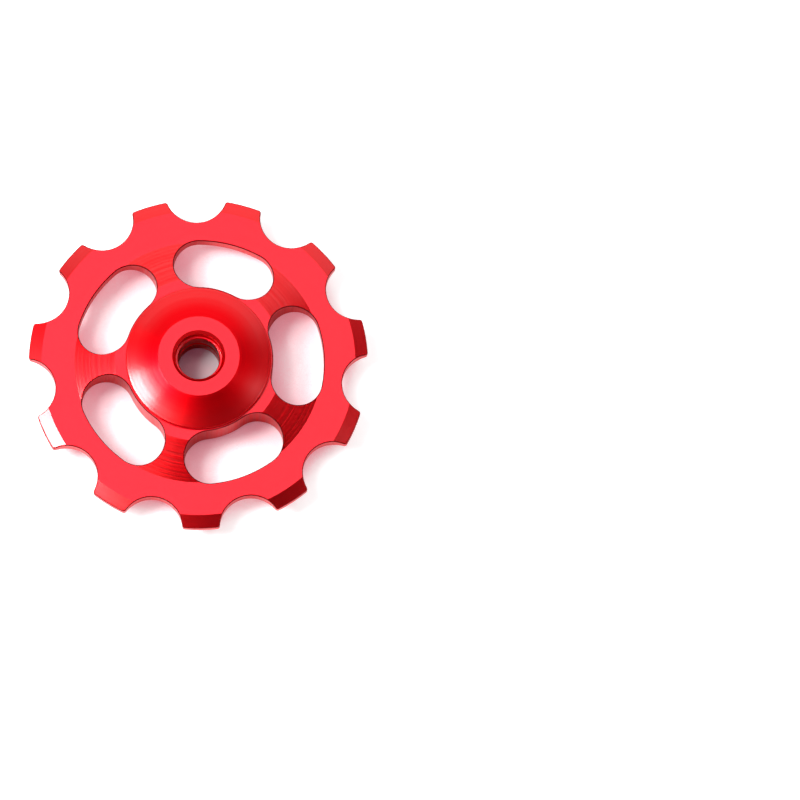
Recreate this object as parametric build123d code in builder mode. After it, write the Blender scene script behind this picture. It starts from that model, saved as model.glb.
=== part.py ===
from build123d import *
import math
import os

os.makedirs("parts", exist_ok=True)

# Sizes are in millimetres and degrees. Z is the wheel's axis and the origin is its centre.

# Chain and teeth
tooth_count = 11
chain_pitch = 12.7
roller_seat_radius = 3.95
flank_lean = 23.0  # each flank leans this far from the middle line of its tooth gap
tip_below_pitch = 0.74  # the tooth tips lie this far inside the chain's pitch circle
tip_corner_radius = 0.35
tip_bevel_length = 1.67
tip_width = 1.2  # thickness left at a tip between its two bevels
first_tooth_angle = -90.0

# Rim, web and slots
rim_width = 2.0
rim_wall = 2.49  # metal between a roller seat and a slot
rim_step = 0.2  # the flat rim starts this far inside the slots' outer edge
slot_count = 5
slot_angle = 74.33
spoke_width = 2.75
hub_wall = 1.55  # metal between the bearing seat and a slot
hub_ring_step = 1.2  # the flat hub ring reaches this far past the slots' inner edge
seat_chamfer = 0.2
edge_break = 0.12  # chamfer on the edges of the teeth and slots

# Bearing
bearing_bore = 8.0
bearing_diameter = 16.0
bearing_width = 5.0
bearing_proud = 0.05  # each bearing face stands this far out of the hub
race_wall = 1.1  # thickness of each race at its shoulders
race_corner_radius = 0.3
ball_count = 9
ball_share = 0.59525  # ball diameter over the radial room between bore and outside
groove_conformity = 0.52  # groove radius over ball diameter
cage_thickness = 0.9
cage_web = 0.28  # cage metal behind each ball
cage_grip = 0.45  # each pocket closes over its ball this far past the middle
seal_inset = 0.2
seal_thickness = 0.45
seal_grip = 0.45  # depth of the seal's seat in the outer race
seal_lip_thickness = 0.2
seal_lip_length = 0.5

# Caps
overall_width = 8.0
nose_radius = 5.2
cap_margin = 0.25  # the cap's edge lies this far inside the slots' inner edge
cap_lip = 0.3  # height of the cap's upright edge
cap_edge_radius = 0.12
bolt_hole_radius = 2.65
mouth_radius = 3.02
mouth_depth = 1.5
mouth_chamfer = 0.38
ledge_edge_radius = 0.12  # rounding on both edges of the ledge at the foot of the mouth
spigot_chamfer = 0.2
spigot_edge_radius = 0.3  # rounding of the bolt hole where the two spigots meet
boss_margin = 0.2  # the cap's boss lies this far inside the inner race's shoulder

# Clearances
fit_gap = 0.01  # radial gap where one piece is pressed or pushed into another
ball_gap = 0.01  # gap between a ball and each race
pocket_gap = 0.08
seal_lip_gap = 0.05
cap_gap = 0.25  # gap between a cap and what turns under it
cap_lip_gap = 0.35  # gap between the bearing's outside and the cap's lip
spigot_gap = 0.1  # gap between the ends of the two spigots

# Radii and heights that follow from the sizes
pitch_radius = chain_pitch / (2 * math.sin(math.pi / tooth_count))
tip_radius = pitch_radius - tip_below_pitch
bevel_start_radius = tip_radius - tip_bevel_length
slot_outer_radius = pitch_radius - roller_seat_radius - rim_wall
rim_inner_radius = slot_outer_radius - rim_step

bore_radius = bearing_bore / 2
bearing_radius = bearing_diameter / 2
bearing_top = bearing_width / 2
seat_radius = bearing_radius + fit_gap
hub_top = bearing_top - bearing_proud
slot_inner_radius = bearing_radius + hub_wall
hub_ring_radius = slot_inner_radius + hub_ring_step

slot_width = slot_outer_radius - slot_inner_radius
slot_path_radius = (slot_outer_radius + slot_inner_radius) / 2
slot_end_angle = math.degrees(math.asin((slot_width + spoke_width) / (2 * slot_path_radius)))
slot_half_sweep = 180 / slot_count - slot_end_angle

ball_diameter = ball_share * (bearing_radius - bore_radius)
ball_radius = ball_diameter / 2
ball_path_radius = (bore_radius + bearing_radius) / 2
inner_shoulder_radius = bore_radius + race_wall
outer_shoulder_radius = bearing_radius - race_wall
groove_radius = groove_conformity * ball_diameter
inner_groove_centre = ball_path_radius - ball_radius - ball_gap + groove_radius
outer_groove_centre = ball_path_radius + ball_radius + ball_gap - groove_radius
pocket_radius = ball_radius + pocket_gap
seal_seat_radius = outer_shoulder_radius + seal_grip
seal_top = bearing_top - seal_inset
seal_bottom = seal_top - seal_thickness

cap_radius = slot_inner_radius - cap_margin
cap_nose = overall_width / 2
cap_floor = bearing_top + cap_gap
cap_lip_bottom = hub_top + cap_gap
cap_lip_top = cap_lip_bottom + cap_lip
cap_lip_radius = bearing_radius + cap_lip_gap
boss_radius = inner_shoulder_radius - boss_margin
spigot_radius = bore_radius - fit_gap
spigot_end = spigot_gap / 2
mouth_floor = cap_nose - mouth_depth
ledge_rounding = min(ledge_edge_radius, (mouth_radius - bolt_hole_radius) / 3)

# One tooth gap on +X: a round roller seat with a straight flank tangent to each end
with BuildSketch() as tooth_gap:
    with BuildLine():
        roller_seat = CenterArc(
            (pitch_radius, 0), roller_seat_radius, 90 + flank_lean, 180 - 2 * flank_lean
        )
        left_flank = PolarLine(roller_seat @ 0, roller_seat_radius, flank_lean)
        right_flank = PolarLine(roller_seat @ 1, roller_seat_radius, -flank_lean)
        Line(left_flank @ 1, right_flank @ 1)
    make_face()

# Toothed wheel: a turned blank, then everything outside its plan outline is milled away
with BuildPart() as toothed_wheel:
    with BuildSketch(Plane.XZ):
        with BuildLine():
            Polyline(
                (seat_radius, 0),
                (seat_radius, hub_top - seat_chamfer),
                (seat_radius + seat_chamfer, hub_top),
                (hub_ring_radius, hub_top),
                (rim_inner_radius, rim_width / 2),
                (bevel_start_radius, rim_width / 2),
                (tip_radius, tip_width / 2),
                (tip_radius, 0),
            )
            mirror(about=Plane.XZ)
        make_face()
    revolve(axis=Axis.Z)
    with BuildSketch() as outline:
        Circle(tip_radius)
        with PolarLocations(0, tooth_count, start_angle=first_tooth_angle + 180 / tooth_count):
            add(tooth_gap.sketch, mode=Mode.SUBTRACT)
        fillet(outline.vertices().group_by(SortBy.DISTANCE)[-1], radius=tip_corner_radius)
        slot_path = CenterArc((0, 0), slot_path_radius, -slot_half_sweep, 2 * slot_half_sweep)
        with PolarLocations(0, slot_count, start_angle=slot_angle):
            SlotArc(slot_path, slot_width, mode=Mode.SUBTRACT)
    extrude(amount=bearing_width, both=True, mode=Mode.INTERSECT)
    upright_walls = toothed_wheel.faces().filter_by_position(Axis.Z, -edge_break, edge_break)
    milled_walls = upright_walls.sort_by(SortBy.DISTANCE)[1:-tooth_count]  # not the seat or the tips
    milled_edges = milled_walls.edges().filter_by(Axis.Z, reverse=True)
    chamfer(toothed_wheel.edges().filter_by(lambda edge: edge in milled_edges), length=edge_break)
toothed_wheel.part.label = "toothed_wheel"
export_step(toothed_wheel.part, "parts/toothed_wheel.step")

# Outer race, with its ball groove and a seat for a seal at each end
with BuildPart() as outer_race:
    with BuildSketch(Plane.XZ) as section:
        with Locations(((outer_shoulder_radius + bearing_radius) / 2, 0)):
            Rectangle(bearing_radius - outer_shoulder_radius, bearing_width)
        fillet(section.vertices().group_by(Axis.X)[-1], radius=race_corner_radius)
        with Locations((outer_groove_centre, 0)):
            Circle(groove_radius, mode=Mode.SUBTRACT)
        seal_seat_length = bearing_top - seal_bottom
        seal_seat_middle = (bearing_top + seal_bottom) / 2
        with Locations((ball_path_radius, seal_seat_middle), (ball_path_radius, -seal_seat_middle)):
            Rectangle(2 * (seal_seat_radius - ball_path_radius), seal_seat_length, mode=Mode.SUBTRACT)
    revolve(axis=Axis.Z)
outer_race.part.label = "outer_race"
export_step(outer_race.part, "parts/outer_race.step")

# Inner race, with its ball groove
with BuildPart() as inner_race:
    with BuildSketch(Plane.XZ) as section:
        with Locations(((bore_radius + inner_shoulder_radius) / 2, 0)):
            Rectangle(inner_shoulder_radius - bore_radius, bearing_width)
        fillet(section.vertices().group_by(Axis.X)[0], radius=race_corner_radius)
        with Locations((inner_groove_centre, 0)):
            Circle(groove_radius, mode=Mode.SUBTRACT)
    revolve(axis=Axis.Z)
inner_race.part.label = "inner_race"
export_step(inner_race.part, "parts/inner_race.step")

# Balls, one every equal step round the ball path
for number in range(ball_count):
    with BuildPart() as ball:
        with PolarLocations(ball_path_radius, 1, start_angle=number * 360 / ball_count):
            Sphere(ball_radius)
    ball.part.label = f"ball_{number + 1}"
    export_step(ball.part, f"parts/ball_{number + 1}.step")

# Crown cage: a ring whose pockets snap over the balls from one side
with BuildPart() as ball_cage:
    cage_back = pocket_radius + cage_web
    with BuildSketch(Plane.XY.offset(-cage_back)):
        Circle(ball_path_radius + cage_thickness / 2)
        Circle(ball_path_radius - cage_thickness / 2, mode=Mode.SUBTRACT)
    extrude(amount=cage_back + cage_grip)
    with PolarLocations(ball_path_radius, ball_count):
        Sphere(pocket_radius, mode=Mode.SUBTRACT)
ball_cage.part.label = "ball_cage"
export_step(ball_cage.part, "parts/ball_cage.step")

# Front seal: a washer with a thin lip that runs close to the inner race, and its mirrored twin
with BuildPart() as front_seal:
    seal_lip_radius = inner_shoulder_radius + seal_lip_gap
    with BuildSketch(Plane.XZ):
        with BuildLine():
            Polyline(
                (seal_lip_radius, seal_top - seal_lip_thickness),
                (seal_lip_radius + seal_lip_length, seal_bottom),
                (seal_seat_radius - fit_gap, seal_bottom),
                (seal_seat_radius - fit_gap, seal_top),
                (seal_lip_radius, seal_top),
                close=True,
            )
        make_face()
    revolve(axis=Axis.Z)
front_seal.part.label = "front_seal"
export_step(front_seal.part, "parts/front_seal.step")

with BuildPart() as rear_seal:
    mirror(front_seal.part, about=Plane.XY)
rear_seal.part.label = "rear_seal"
export_step(rear_seal.part, "parts/rear_seal.step")

# Front cap: a cone with a flat nose and a stepped bolt hole, on a spigot that fills half the
# inner race, and its mirrored twin
with BuildPart() as front_cap:
    with BuildSketch(Plane.XZ) as section:
        with BuildLine():
            Polyline(
                (bolt_hole_radius, spigot_end),
                (spigot_radius - spigot_chamfer, spigot_end),
                (spigot_radius, spigot_end + spigot_chamfer),
                (spigot_radius, bearing_top),
                (boss_radius, bearing_top),
                (boss_radius, cap_floor),
                (cap_lip_radius, cap_floor),
                (cap_lip_radius, cap_lip_bottom),
                (cap_radius, cap_lip_bottom),
                (cap_radius, cap_lip_top),
                (nose_radius, cap_nose),
                (mouth_radius + mouth_chamfer, cap_nose),
                (mouth_radius, cap_nose - mouth_chamfer),
                (mouth_radius, mouth_floor),
                (bolt_hole_radius, mouth_floor),
                close=True,
            )
        make_face()
        fillet(section.vertices().group_by(Axis.X)[-1].sort_by(Axis.Y)[-1:], radius=cap_edge_radius)
        hole_corners, mouth_corners = section.vertices().group_by(Axis.X)[:2]
        ledge_corners = hole_corners.sort_by(Axis.Y)[1:] + mouth_corners.sort_by(Axis.Y)[:1]
        fillet(ledge_corners, radius=ledge_rounding)
        fillet(section.vertices().group_by(Axis.X)[0].sort_by(Axis.Y)[:1], radius=spigot_edge_radius)
    revolve(axis=Axis.Z)
front_cap.part.label = "front_cap"
export_step(front_cap.part, "parts/front_cap.step")

with BuildPart() as rear_cap:
    mirror(front_cap.part, about=Plane.XY)
rear_cap.part.label = "rear_cap"
export_step(rear_cap.part, "parts/rear_cap.step")
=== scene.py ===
"""Looks of a derailleur jockey wheel: red anodised metal lying on a white table under soft studio light."""
import math

import bmesh
import bpy
from mathutils import Matrix, Vector


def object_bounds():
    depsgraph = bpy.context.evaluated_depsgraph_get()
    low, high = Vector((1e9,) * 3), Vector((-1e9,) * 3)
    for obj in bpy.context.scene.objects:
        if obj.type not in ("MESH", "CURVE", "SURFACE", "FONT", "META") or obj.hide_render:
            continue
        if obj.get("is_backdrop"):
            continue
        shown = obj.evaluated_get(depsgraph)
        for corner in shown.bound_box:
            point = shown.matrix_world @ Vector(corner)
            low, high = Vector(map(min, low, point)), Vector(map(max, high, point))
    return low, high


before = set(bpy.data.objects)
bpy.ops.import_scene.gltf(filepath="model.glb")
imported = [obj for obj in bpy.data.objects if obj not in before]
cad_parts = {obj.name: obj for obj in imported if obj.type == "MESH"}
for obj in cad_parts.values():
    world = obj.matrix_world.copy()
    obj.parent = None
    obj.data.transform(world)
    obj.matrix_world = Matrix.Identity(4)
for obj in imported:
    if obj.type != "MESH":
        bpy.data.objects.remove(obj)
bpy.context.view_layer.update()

# Lengths are in metres and angles in degrees, unless a comment says otherwise.

# Camera
photo_pixels = 800
focal_pixels = 4092.0
sensor_width = 36.0  # in millimetres
view_turn = -0.77  # how far the camera and the lamps are turned about the wheel's axis
camera_tilt = 14.11  # from the wheel's axis towards -Y
camera_distance = 0.5272
camera_aim = Vector((0.02593, -0.00457, -0.00115))

# Table
table_half_side = 2.0
table_colour = (0.45, 0.45, 0.455, 1.0)
table_roughness = 0.45
table_glow = 0.75  # added where a camera, mirror or glass ray meets the table
open_glow_colour = (1.0, 1.0, 1.0, 1.0)
painted_slot_shade_and_bounce_colour = (0.70, 0.22, 0.28, 1.0)  # painted shade and painted red bounce light in the slots, where red metal throws its light down
# painted shade in the bore and other deep hollows under the wheel
painted_deep_shade_colour = (0.10, 0.03, 0.05, 1.0)
shade_reach = 0.012
shade_samples = 16
deep_sky = (0.12, 0.34)  # share of open sky in deep shade, and in the slots
mirrored_sky = (0.31, 0.45)  # painted shade in what the metal mirrors: it shows less of the glow in the slots than in the open
open_sky = (0.40, 0.61)  # share of open sky in the slots, and out in the open

# Lamps: each is a direction seen from the wheel, two half angles and a radiance
lamp_distance = 0.7
softbox_direction = Vector((0.020, 0.539, 0.842))
softbox_half_angles = (24.8, 29.1)
softbox_radiance = 1.22
key_direction = Vector((-0.412, 0.012, 0.911))
key_half_angles = (7.5, 7.5)
key_radiance = 40.0
spill_direction = Vector((-0.280, -0.170, 0.945))
spill_half_angles = (4.5, 4.5)
spill_radiance = 2.4
card_direction = Vector((0.350, 0.049, 0.935))
card_half_angles = (4.8, 4.8)
card_radiance = 3.6
window_direction = Vector((-0.545, 0.245, 0.800))
window_half_angles = (3.5, 5.0)
window_radiance = 0.7
front_fill_direction = Vector((-0.210, -0.260, 0.943))
front_fill_half_angles = (5.0, 5.0)
front_fill_radiance = 0.7
table_lamp_direction = Vector((-0.62, 0.05, 0.78))
table_lamp_half_angles = (14.0, 7.0)
table_lamp_radiance = 49.0

# Room: dim overhead, with pale walls near the horizon
room_colour = (1.0, 1.0, 1.0, 1.0)
room_overhead = 0.036
room_horizon = 0.60
room_fade = (0.42, 0.80)  # height of a direction where the walls start to fade, and where they are gone

# Fine marks
ring_noise = {"Scale": 1.0, "Detail": 2.0, "Roughness": 0.6}
ring_wander = 0.00001  # how far a turned ring strays from a true circle
wander_noise = {"Scale": 90.0, "Detail": 1.0}
streak_pitch = 0.0004
streak_squeeze = 0.04  # along Z, which draws the noise out into upright streaks
streak_noise = {"Scale": 1.0 / streak_pitch, "Detail": 2.0, "Roughness": 0.55}
grain_size = 0.0003
drift_size = 0.006
grain_detail = 3.0
noise_middle = 0.5

# Kinds of face, told by how far a face looks along the axis: 0 on an upright wall and 1 on a flat face
past_walls_at = (0.20, 0.40)
past_edges_at = (0.90, 0.94)
flat_at = (0.984, 0.994)

# Anodised metal: colours
satin_red = (0.95, 0.004, 0.020, 1.0)
wheel_turned_red = (0.92, 0.001, 0.005, 1.0)
tip_red = (0.78, 0.001, 0.005, 1.0)  # on the bevels of the teeth
cap_turned_red = (0.76, 0.001, 0.004, 1.0)
# painted shade: the milled walls' red is darkened to stand in for the shaded table they mirror
painted_shade_wall_red = (0.52, 0.001, 0.004, 1.0)
# painted shade: a dark outline along the wheel's broken edges
wheel_edge_painted_shade_red = (0.22, 0.001, 0.003, 1.0)
cap_edge_red = (0.80, 0.001, 0.004, 1.0)
deep_red = (0.72, 0.001, 0.006, 1.0)
grazing_pink = (1.0, 0.40, 0.43, 1.0)
mark_deepening = 0.35  # how far the marks pull the colour towards deep red
drift_deepening = 0.3

# Anodised metal: roughness of the metal
satin_roughness = 0.46
turned_roughness = 0.33
edge_roughness = 0.40
milled_roughness = 0.36
mark_roughening = 0.06
grain_roughening = 0.05

# Anodised metal: gloss of the clear film over it
film_roughness = 0.17
film_ior = 1.5
satin_film = 0.88
turned_film = 0.92
edge_film = 0.15
milled_film = 0.35
dull_film = 0.07  # share of the film's gloss where a turned face is dullest
bore_radius = (0.0045, 0.0035)  # the film is bright again on the edges inside the bore
scratch_range = (0.38, 0.62)  # heights of a ring between which it wears the film away

# Anodised metal: rings and streaks
ring_fade = (0.0165, 0.0195)  # radii between which the rings die away towards the teeth
ring_share = 0.3  # what is left of them there
flat_ring_share = 0.12  # height of the rings on the flat faces
flat_rings_per_ring = 3
streak_range = (0.35, 0.65)

# Anodised metal: what the lathe left on the wheel and on the caps
wheel_turning = {
    "ring_pitch": 0.00038,
    "ring_depth": 0.000022,
    "film_loss": 0.40,
    "bright_at": (0.0, 0.001),  # so that no part of the wheel is dull
}
cap_turning = {
    "ring_pitch": 0.00036,
    "ring_depth": 0.000011,
    "film_loss": 0.34,
    "bright_at": (0.006, 0.009),
}

# Bearing: steel
ground_steel = (0.60, 0.60, 0.59, 1.0)
ground_roughness = 0.22
ground_ring_depth = 0.0000006
polished_steel = (0.72, 0.72, 0.72, 1.0)
polished_roughness = 0.05
polished_ring_depth = 0.0000001
grinding_pitch = 0.00012
grinding_roughening = 0.06
steel_shade = 0.8  # of the steel's own colour
steel_shading = 0.25

# Bearing: nylon and rubber
natural_nylon = (0.72, 0.69, 0.60, 1.0)
nylon_shade = (0.62, 0.58, 0.47, 1.0)
nylon_roughness = 0.42
nylon_grain_depth = 0.000004
black_rubber = (0.022, 0.022, 0.023, 1.0)
rubber_bloom = (0.045, 0.045, 0.046, 1.0)
rubber_roughness = 0.55
rubber_grain_depth = 0.000006
moulded_grain_size = 0.00015
moulded_grain_strength = 0.6
moulded_roughening = 0.12


# Short ways to make nodes

mix_factor, mix_first, mix_second, mix_result = 0, 6, 7, 2  # places of a Mix node's sockets for colours


def fill(tree, socket, value):
    """Gives a socket a value or a link."""
    if isinstance(value, bpy.types.NodeSocket):
        tree.links.new(value, socket)
    else:
        socket.default_value = value


def put(tree, kind, sockets=None, **settings):
    """Adds a node, gives its settings, and fills each named socket."""
    made = tree.nodes.new(kind)
    for name, value in settings.items():
        setattr(made, name, value)
    for name, value in (sockets or {}).items():
        fill(tree, made.inputs[name], value)
    return made


def maths(tree, operation, *values):
    """One Math node on up to three values, and its result."""
    made = put(tree, "ShaderNodeMath", dict(enumerate(values)), operation=operation)
    return made.outputs[0]


def ramp(tree, value, low, high):
    """A smooth step from 0 at low to 1 at high."""
    sockets = {"Value": value, "From Min": low, "From Max": high}
    made = put(tree, "ShaderNodeMapRange", sockets, interpolation_type="SMOOTHSTEP")
    return made.outputs["Result"]


def blend_colours(tree, factor, first, second):
    """One Mix node on two colours, and its result."""
    sockets = {mix_factor: factor, mix_first: first, mix_second: second}
    made = put(tree, "ShaderNodeMix", sockets, data_type="RGBA")
    return made.outputs[mix_result]


def new_group(name, inputs, outputs):
    """An empty node group with the named number sockets, and its two end nodes."""
    tree = bpy.data.node_groups.new(name, "ShaderNodeTree")
    for label, value in inputs.items():
        socket = tree.interface.new_socket(label, in_out="INPUT", socket_type="NodeSocketFloat")
        socket.default_value = value
    for label in outputs:
        tree.interface.new_socket(label, in_out="OUTPUT", socket_type="NodeSocketFloat")
    return tree, tree.nodes.new("NodeGroupInput").outputs, tree.nodes.new("NodeGroupOutput").inputs


def use_group(tree, group, **values):
    """Adds a group to a tree with the values given, and its results."""
    made = tree.nodes.new("ShaderNodeGroup")
    made.node_tree = group
    for label, value in values.items():
        made.inputs[label].default_value = value
    return made.outputs


# Effects that several finishes share

def make_turning_marks():
    """Fine rings about the wheel's axis, left by the lathe tool, and the distance from that axis."""
    tree, given, result = new_group("turning marks", {"Pitch": grinding_pitch}, ["Height", "Radius"])
    place = put(tree, "ShaderNodeTexCoord").outputs["Object"]
    flat = put(tree, "ShaderNodeVectorMath", {0: place, 1: (1.0, 1.0, 0.0)}, operation="MULTIPLY")
    radius = put(tree, "ShaderNodeVectorMath", {0: flat.outputs[0]}, operation="LENGTH").outputs["Value"]
    drift = put(tree, "ShaderNodeTexNoise", {"Vector": place, **wander_noise})
    wander = maths(tree, "MULTIPLY", drift.outputs["Fac"], ring_wander)
    turns = maths(tree, "DIVIDE", maths(tree, "ADD", radius, wander), given["Pitch"])
    rings = put(tree, "ShaderNodeTexNoise", {"W": turns, **ring_noise}, noise_dimensions="1D")
    tree.links.new(rings.outputs["Fac"], result["Height"])
    tree.links.new(radius, result["Radius"])
    return tree


def make_mill_marks():
    """Upright streaks that an end mill leaves on a wall."""
    tree, _, result = new_group("mill marks", {}, ["Height"])
    place = put(tree, "ShaderNodeTexCoord").outputs["Object"]
    squeeze = {0: place, 1: (1.0, 1.0, streak_squeeze)}
    squeezed = put(tree, "ShaderNodeVectorMath", squeeze, operation="MULTIPLY").outputs[0]
    streaks = put(tree, "ShaderNodeTexNoise", {"Vector": squeezed, **streak_noise})
    tree.links.new(streaks.outputs["Fac"], result["Height"])
    return tree


def make_grain():
    """Even fine grain with a slow drift over it."""
    tree, given, result = new_group("grain", {"Size": grain_size}, ["Grain", "Drift"])
    place = put(tree, "ShaderNodeTexCoord").outputs["Object"]
    for label, size in (("Grain", given["Size"]), ("Drift", drift_size)):
        scale = maths(tree, "DIVIDE", 1.0, size)
        noise = put(tree, "ShaderNodeTexNoise", {"Vector": place, "Scale": scale, "Detail": grain_detail})
        tree.links.new(noise.outputs["Fac"], result[label])
    return tree


def make_face_kinds():
    """Masks for faces square to the axis, sloping turned faces, broken edges and upright walls."""
    tree, _, result = new_group("face kinds", {}, ["Flat", "Sloping", "Edge", "Wall"])
    facing = put(tree, "ShaderNodeTexCoord").outputs["Normal"]
    upness = maths(tree, "ABSOLUTE", put(tree, "ShaderNodeSeparateXYZ", {0: facing}).outputs["Z"])
    flat = ramp(tree, upness, *flat_at)
    past_edges = ramp(tree, upness, *past_edges_at)
    past_walls = ramp(tree, upness, *past_walls_at)
    tree.links.new(flat, result["Flat"])
    tree.links.new(maths(tree, "SUBTRACT", past_edges, flat), result["Sloping"])
    tree.links.new(maths(tree, "SUBTRACT", past_walls, past_edges), result["Edge"])
    tree.links.new(maths(tree, "SUBTRACT", 1.0, past_walls), result["Wall"])
    return tree


turning_marks = make_turning_marks()
mill_marks = make_mill_marks()
grain = make_grain()
face_kinds = make_face_kinds()


# Finishes

def new_finish(name):
    """An empty material, its tree and the sockets of its Principled shader."""
    material = bpy.data.materials.new(name)
    material.use_nodes = True
    tree = material.node_tree
    tree.nodes.clear()
    shader = tree.nodes.new("ShaderNodeBsdfPrincipled")
    end = tree.nodes.new("ShaderNodeOutputMaterial")
    tree.links.new(shader.outputs["BSDF"], end.inputs["Surface"])
    return material, tree, shader.inputs


def weigh(tree, masks, **weights):
    """The sum of each mask times its weight, a number or a link."""
    total = 0.0
    for label, weight in weights.items():
        total = maths(tree, "MULTIPLY_ADD", masks[label], weight, total)
    return total


def add_unevenly(tree, noise, share, value):
    """A value that rises and falls by a share of some noise."""
    return maths(tree, "MULTIPLY_ADD", maths(tree, "SUBTRACT", noise, noise_middle), share, value)


def add_bump(tree, shader, height, depth, strength=1.0):
    """Lets a height in the range 0 to 1 tilt the shader's normal."""
    bump = put(tree, "ShaderNodeBump", {"Strength": strength, "Distance": depth, "Height": height})
    tree.links.new(bump.outputs["Normal"], shader["Normal"])


def anodised(name, turned_colour, edge_colour_and_shade, ring_pitch, ring_depth, film_loss, bright_at):
    """Red anodised aluminium: satin flats, glossy turned slopes, broken edges and milled walls.

    The rings on the turned slopes take up to film_loss of the film's gloss. Between the two radii of
    bright_at the slopes go from dull to bright.
    """
    material, tree, shader = new_finish(name)
    kinds = use_group(tree, face_kinds)
    lathe = use_group(tree, turning_marks, Pitch=ring_pitch)
    rings, radius = lathe["Height"], lathe["Radius"]
    flat_rings = use_group(tree, turning_marks, Pitch=ring_pitch / flat_rings_per_ring)["Height"]
    streaks = ramp(tree, use_group(tree, mill_marks)["Height"], *streak_range)
    speckle = use_group(tree, grain)
    faint_rings = maths(tree, "MULTIPLY", flat_rings, flat_ring_share)
    near_teeth = ramp(tree, radius, *ring_fade)
    faded = maths(tree, "MULTIPLY_ADD", near_teeth, ring_share - 1.0, 1.0)
    strong_rings = maths(tree, "MULTIPLY", rings, faded)
    marks = weigh(tree, kinds, Flat=faint_rings, Sloping=strong_rings, Wall=streaks)

    sloping_colour = blend_colours(tree, near_teeth, turned_colour, tip_red)
    colour = blend_colours(tree, kinds["Sloping"], satin_red, sloping_colour)
    # the walls take a red darkened with painted shade
    colour = blend_colours(tree, kinds["Wall"], colour, painted_shade_wall_red)
    # on the wheel the edge colour is a painted dark outline of shade; on the caps it is close to the
    # metal's own red
    colour = blend_colours(tree, kinds["Edge"], colour, edge_colour_and_shade)
    drift_depth = maths(tree, "MULTIPLY", speckle["Drift"], drift_deepening)
    depth = maths(tree, "MULTIPLY_ADD", marks, mark_deepening, drift_depth)
    deepened = maths(tree, "MULTIPLY", depth, maths(tree, "SUBTRACT", 1.0, kinds["Edge"]))
    tree.links.new(blend_colours(tree, deepened, colour, deep_red), shader["Base Color"])

    roughness = weigh(tree, kinds, Flat=satin_roughness, Sloping=turned_roughness, Edge=edge_roughness,
                      Wall=milled_roughness)
    marked = add_unevenly(tree, marks, mark_roughening, roughness)
    speckled = add_unevenly(tree, speckle["Grain"], grain_roughening, marked)
    tree.links.new(speckled, shader["Roughness"])

    loss = maths(tree, "MULTIPLY", faded, film_loss)
    scratched = maths(tree, "MULTIPLY", ramp(tree, rings, *scratch_range), loss)
    bright = maths(tree, "MAXIMUM", ramp(tree, radius, *bright_at), ramp(tree, radius, *bore_radius))
    brightness = maths(tree, "MULTIPLY_ADD", bright, 1.0 - dull_film, dull_film)
    turned = maths(tree, "MULTIPLY", maths(tree, "SUBTRACT", turned_film, scratched), brightness)
    film = weigh(tree, kinds, Flat=satin_film, Sloping=turned, Edge=edge_film, Wall=milled_film)
    tree.links.new(film, shader["Coat Weight"])

    add_bump(tree, shader, marks, ring_depth)
    shader["Metallic"].default_value = 1.0
    shader["Specular Tint"].default_value = grazing_pink
    shader["Coat Roughness"].default_value = film_roughness
    shader["Coat IOR"].default_value = film_ior
    return material


def steel(name, colour, roughness, ring_depth):
    """Hardened steel with the fine rings of a grinding wheel."""
    material, tree, shader = new_finish(name)
    rings = use_group(tree, turning_marks, Pitch=grinding_pitch)["Height"]
    shading = maths(tree, "MULTIPLY", use_group(tree, grain)["Drift"], steel_shading)
    darker = tuple(steel_shade * channel for channel in colour[:3]) + (1.0,)
    tree.links.new(blend_colours(tree, shading, colour, darker), shader["Base Color"])
    uneven = maths(tree, "MULTIPLY_ADD", rings, grinding_roughening, roughness)
    tree.links.new(uneven, shader["Roughness"])
    add_bump(tree, shader, rings, ring_depth)
    shader["Metallic"].default_value = 1.0
    return material


def moulded(name, colour, shade_colour, roughness, grain_depth):
    """A moulded plastic or rubber with a fine even grain."""
    material, tree, shader = new_finish(name)
    speckle = use_group(tree, grain, Size=moulded_grain_size)
    tree.links.new(blend_colours(tree, speckle["Drift"], colour, shade_colour), shader["Base Color"])
    uneven = maths(tree, "MULTIPLY_ADD", speckle["Grain"], moulded_roughening, roughness)
    tree.links.new(uneven, shader["Roughness"])
    add_bump(tree, shader, speckle["Grain"], grain_depth, moulded_grain_strength)
    return material


# Each piece takes the first finish whose word is in its name
finishes = {
    "wheel": anodised("red_anodised_wheel", wheel_turned_red, wheel_edge_painted_shade_red, **wheel_turning),
    "cap": anodised("red_anodised_cap", cap_turned_red, cap_edge_red, **cap_turning),
    "race": steel("ground_bearing_steel", ground_steel, ground_roughness, ground_ring_depth),
    "cage": moulded("natural_nylon", natural_nylon, nylon_shade, nylon_roughness, nylon_grain_depth),
    "ball": steel("polished_ball_steel", polished_steel, polished_roughness, polished_ring_depth),
    "seal": moulded("black_seal_rubber", black_rubber, rubber_bloom, rubber_roughness, rubber_grain_depth),
}

for name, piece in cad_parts.items():
    finish = next(word for word in finishes if word in name)
    for slot in piece.material_slots:
        slot.material = finishes[finish]


# Table

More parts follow.
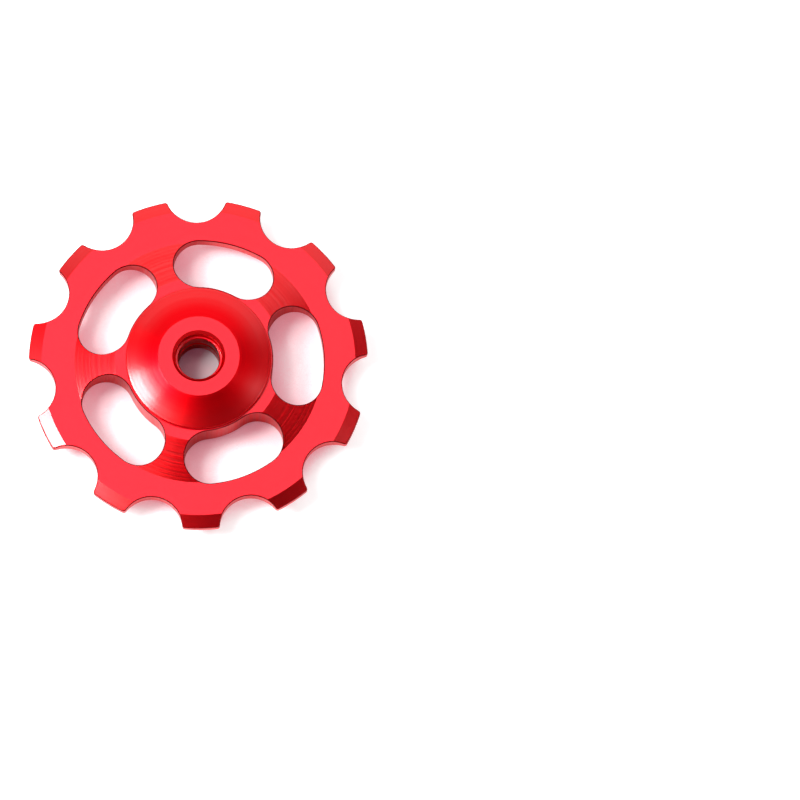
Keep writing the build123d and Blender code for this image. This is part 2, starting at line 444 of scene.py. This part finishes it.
def make_table():
    """A large white sheet that keeps soft shadows, partly real from the table lamp and partly painted
    shade, and a painted pink of the wheel's red light.
    """
    table_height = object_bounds()[0].z
    shape = bmesh.new()
    bmesh.ops.create_grid(shape, x_segments=1, y_segments=1, size=table_half_side)
    bmesh.ops.translate(shape, verts=shape.verts, vec=(0.0, 0.0, table_height))
    mesh = bpy.data.meshes.new("table")
    shape.to_mesh(mesh)
    shape.free()
    table = bpy.data.objects.new("table", mesh)
    bpy.context.scene.collection.objects.link(table)
    table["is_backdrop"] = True

    material, tree, shader = new_finish("white_table")
    shader["Base Color"].default_value = table_colour
    shader["Roughness"].default_value = table_roughness
    shade = put(tree, "ShaderNodeAmbientOcclusion", {"Distance": shade_reach}, samples=shade_samples)
    sky = shade.outputs["AO"]
    # Where the table is hidden from the sky, its glow turns into painted shade: dark in the bore, pink in
    # the slots.
    glow_colour = blend_colours(tree, ramp(tree, sky, *deep_sky), painted_deep_shade_colour, painted_slot_shade_and_bounce_colour)
    glow_colour = blend_colours(tree, ramp(tree, sky, *open_sky), glow_colour, open_glow_colour)
    tree.links.new(glow_colour, shader["Emission Color"])
    ray = put(tree, "ShaderNodeLightPath").outputs
    # painted shade in reflections: glossy rays see less glow where the table is hidden from the sky
    mirrored = maths(tree, "MULTIPLY", ray["Is Glossy Ray"], ramp(tree, sky, *mirrored_sky))
    seen = maths(tree, "MAXIMUM", ray["Is Camera Ray"], mirrored)
    seen = maths(tree, "MAXIMUM", seen, ray["Is Transmission Ray"])
    tree.links.new(maths(tree, "MULTIPLY", seen, table_glow), shader["Emission Strength"])
    mesh.materials.append(material)
    return table


table = make_table()


# Light

around_axis = Matrix.Rotation(math.radians(view_turn), 3, "Z")


def make_lamp(name, direction, half_angles, radiance, shape="ELLIPSE"):
    """A lamp that fills the half angles round the direction, as bright as its radiance from the wheel."""
    data = bpy.data.lights.new(name, "AREA")
    data.shape = shape
    data.size, data.size_y = (2 * lamp_distance * math.tan(math.radians(angle)) for angle in half_angles)
    area = data.size * data.size_y * (math.pi / 4 if shape == "ELLIPSE" else 1.0)
    data.energy = radiance * math.pi * area
    lamp = bpy.data.objects.new(name, data)
    towards_lamp = around_axis @ direction.normalized()
    lamp.location = towards_lamp * lamp_distance
    lamp.rotation_euler = towards_lamp.to_track_quat("Z", "Y").to_euler()
    bpy.context.scene.collection.objects.link(lamp)
    return lamp


def light_only(lamp, piece):
    """Keeps a lamp's light off everything but one piece."""
    lit = bpy.data.collections.new(f"lit_by_{lamp.name}")
    lit.objects.link(piece)
    lamp.light_linking.receiver_collection = lit


def make_room():
    """Dim overhead, so that the metal shows dark between the lamps, with pale walls round about."""
    room = bpy.data.worlds.new("room")
    room.use_nodes = True
    tree = room.node_tree
    direction = put(tree, "ShaderNodeTexCoord").outputs["Generated"]
    height = put(tree, "ShaderNodeSeparateXYZ", {0: direction}).outputs["Z"]
    overhead = ramp(tree, height, *room_fade)
    radiance = maths(tree, "MULTIPLY_ADD", overhead, room_overhead - room_horizon, room_horizon)
    background = tree.nodes["Background"].inputs
    background["Color"].default_value = room_colour
    tree.links.new(radiance, background["Strength"])
    bpy.context.scene.world = room


make_lamp("softbox", softbox_direction, softbox_half_angles, softbox_radiance, "RECTANGLE")
make_lamp("key_lamp", key_direction, key_half_angles, key_radiance)
make_lamp("key_spill", spill_direction, spill_half_angles, spill_radiance)
make_lamp("white_card", card_direction, card_half_angles, card_radiance)
make_lamp("window", window_direction, window_half_angles, window_radiance)
make_lamp("front_fill", front_fill_direction, front_fill_half_angles, front_fill_radiance)
table_lamp = make_lamp("table_lamp", table_lamp_direction, table_lamp_half_angles, table_lamp_radiance)
light_only(table_lamp, table)
make_room()


# Camera

def make_camera():
    """Stands over the wheel, tilted towards -Y, and looks past it so that it lies left of the middle."""
    tilt = math.radians(camera_tilt)
    place = around_axis @ Vector((0.0, -math.sin(tilt), math.cos(tilt))) * camera_distance
    forward = (around_axis @ camera_aim - place).normalized()
    right = forward.cross(around_axis @ Vector((0.0, math.cos(tilt), math.sin(tilt)))).normalized()
    up = right.cross(forward)
    data = bpy.data.cameras.new("camera")
    data.sensor_width = sensor_width
    data.lens = focal_pixels * sensor_width / photo_pixels
    camera = bpy.data.objects.new("camera", data)
    turn = Matrix((right, up, -forward)).transposed().to_4x4()
    camera.matrix_world = Matrix.Translation(place) @ turn
    bpy.context.scene.collection.objects.link(camera)
    bpy.context.scene.camera = camera


make_camera()
bpy.context.scene.view_settings.view_transform = "Standard"
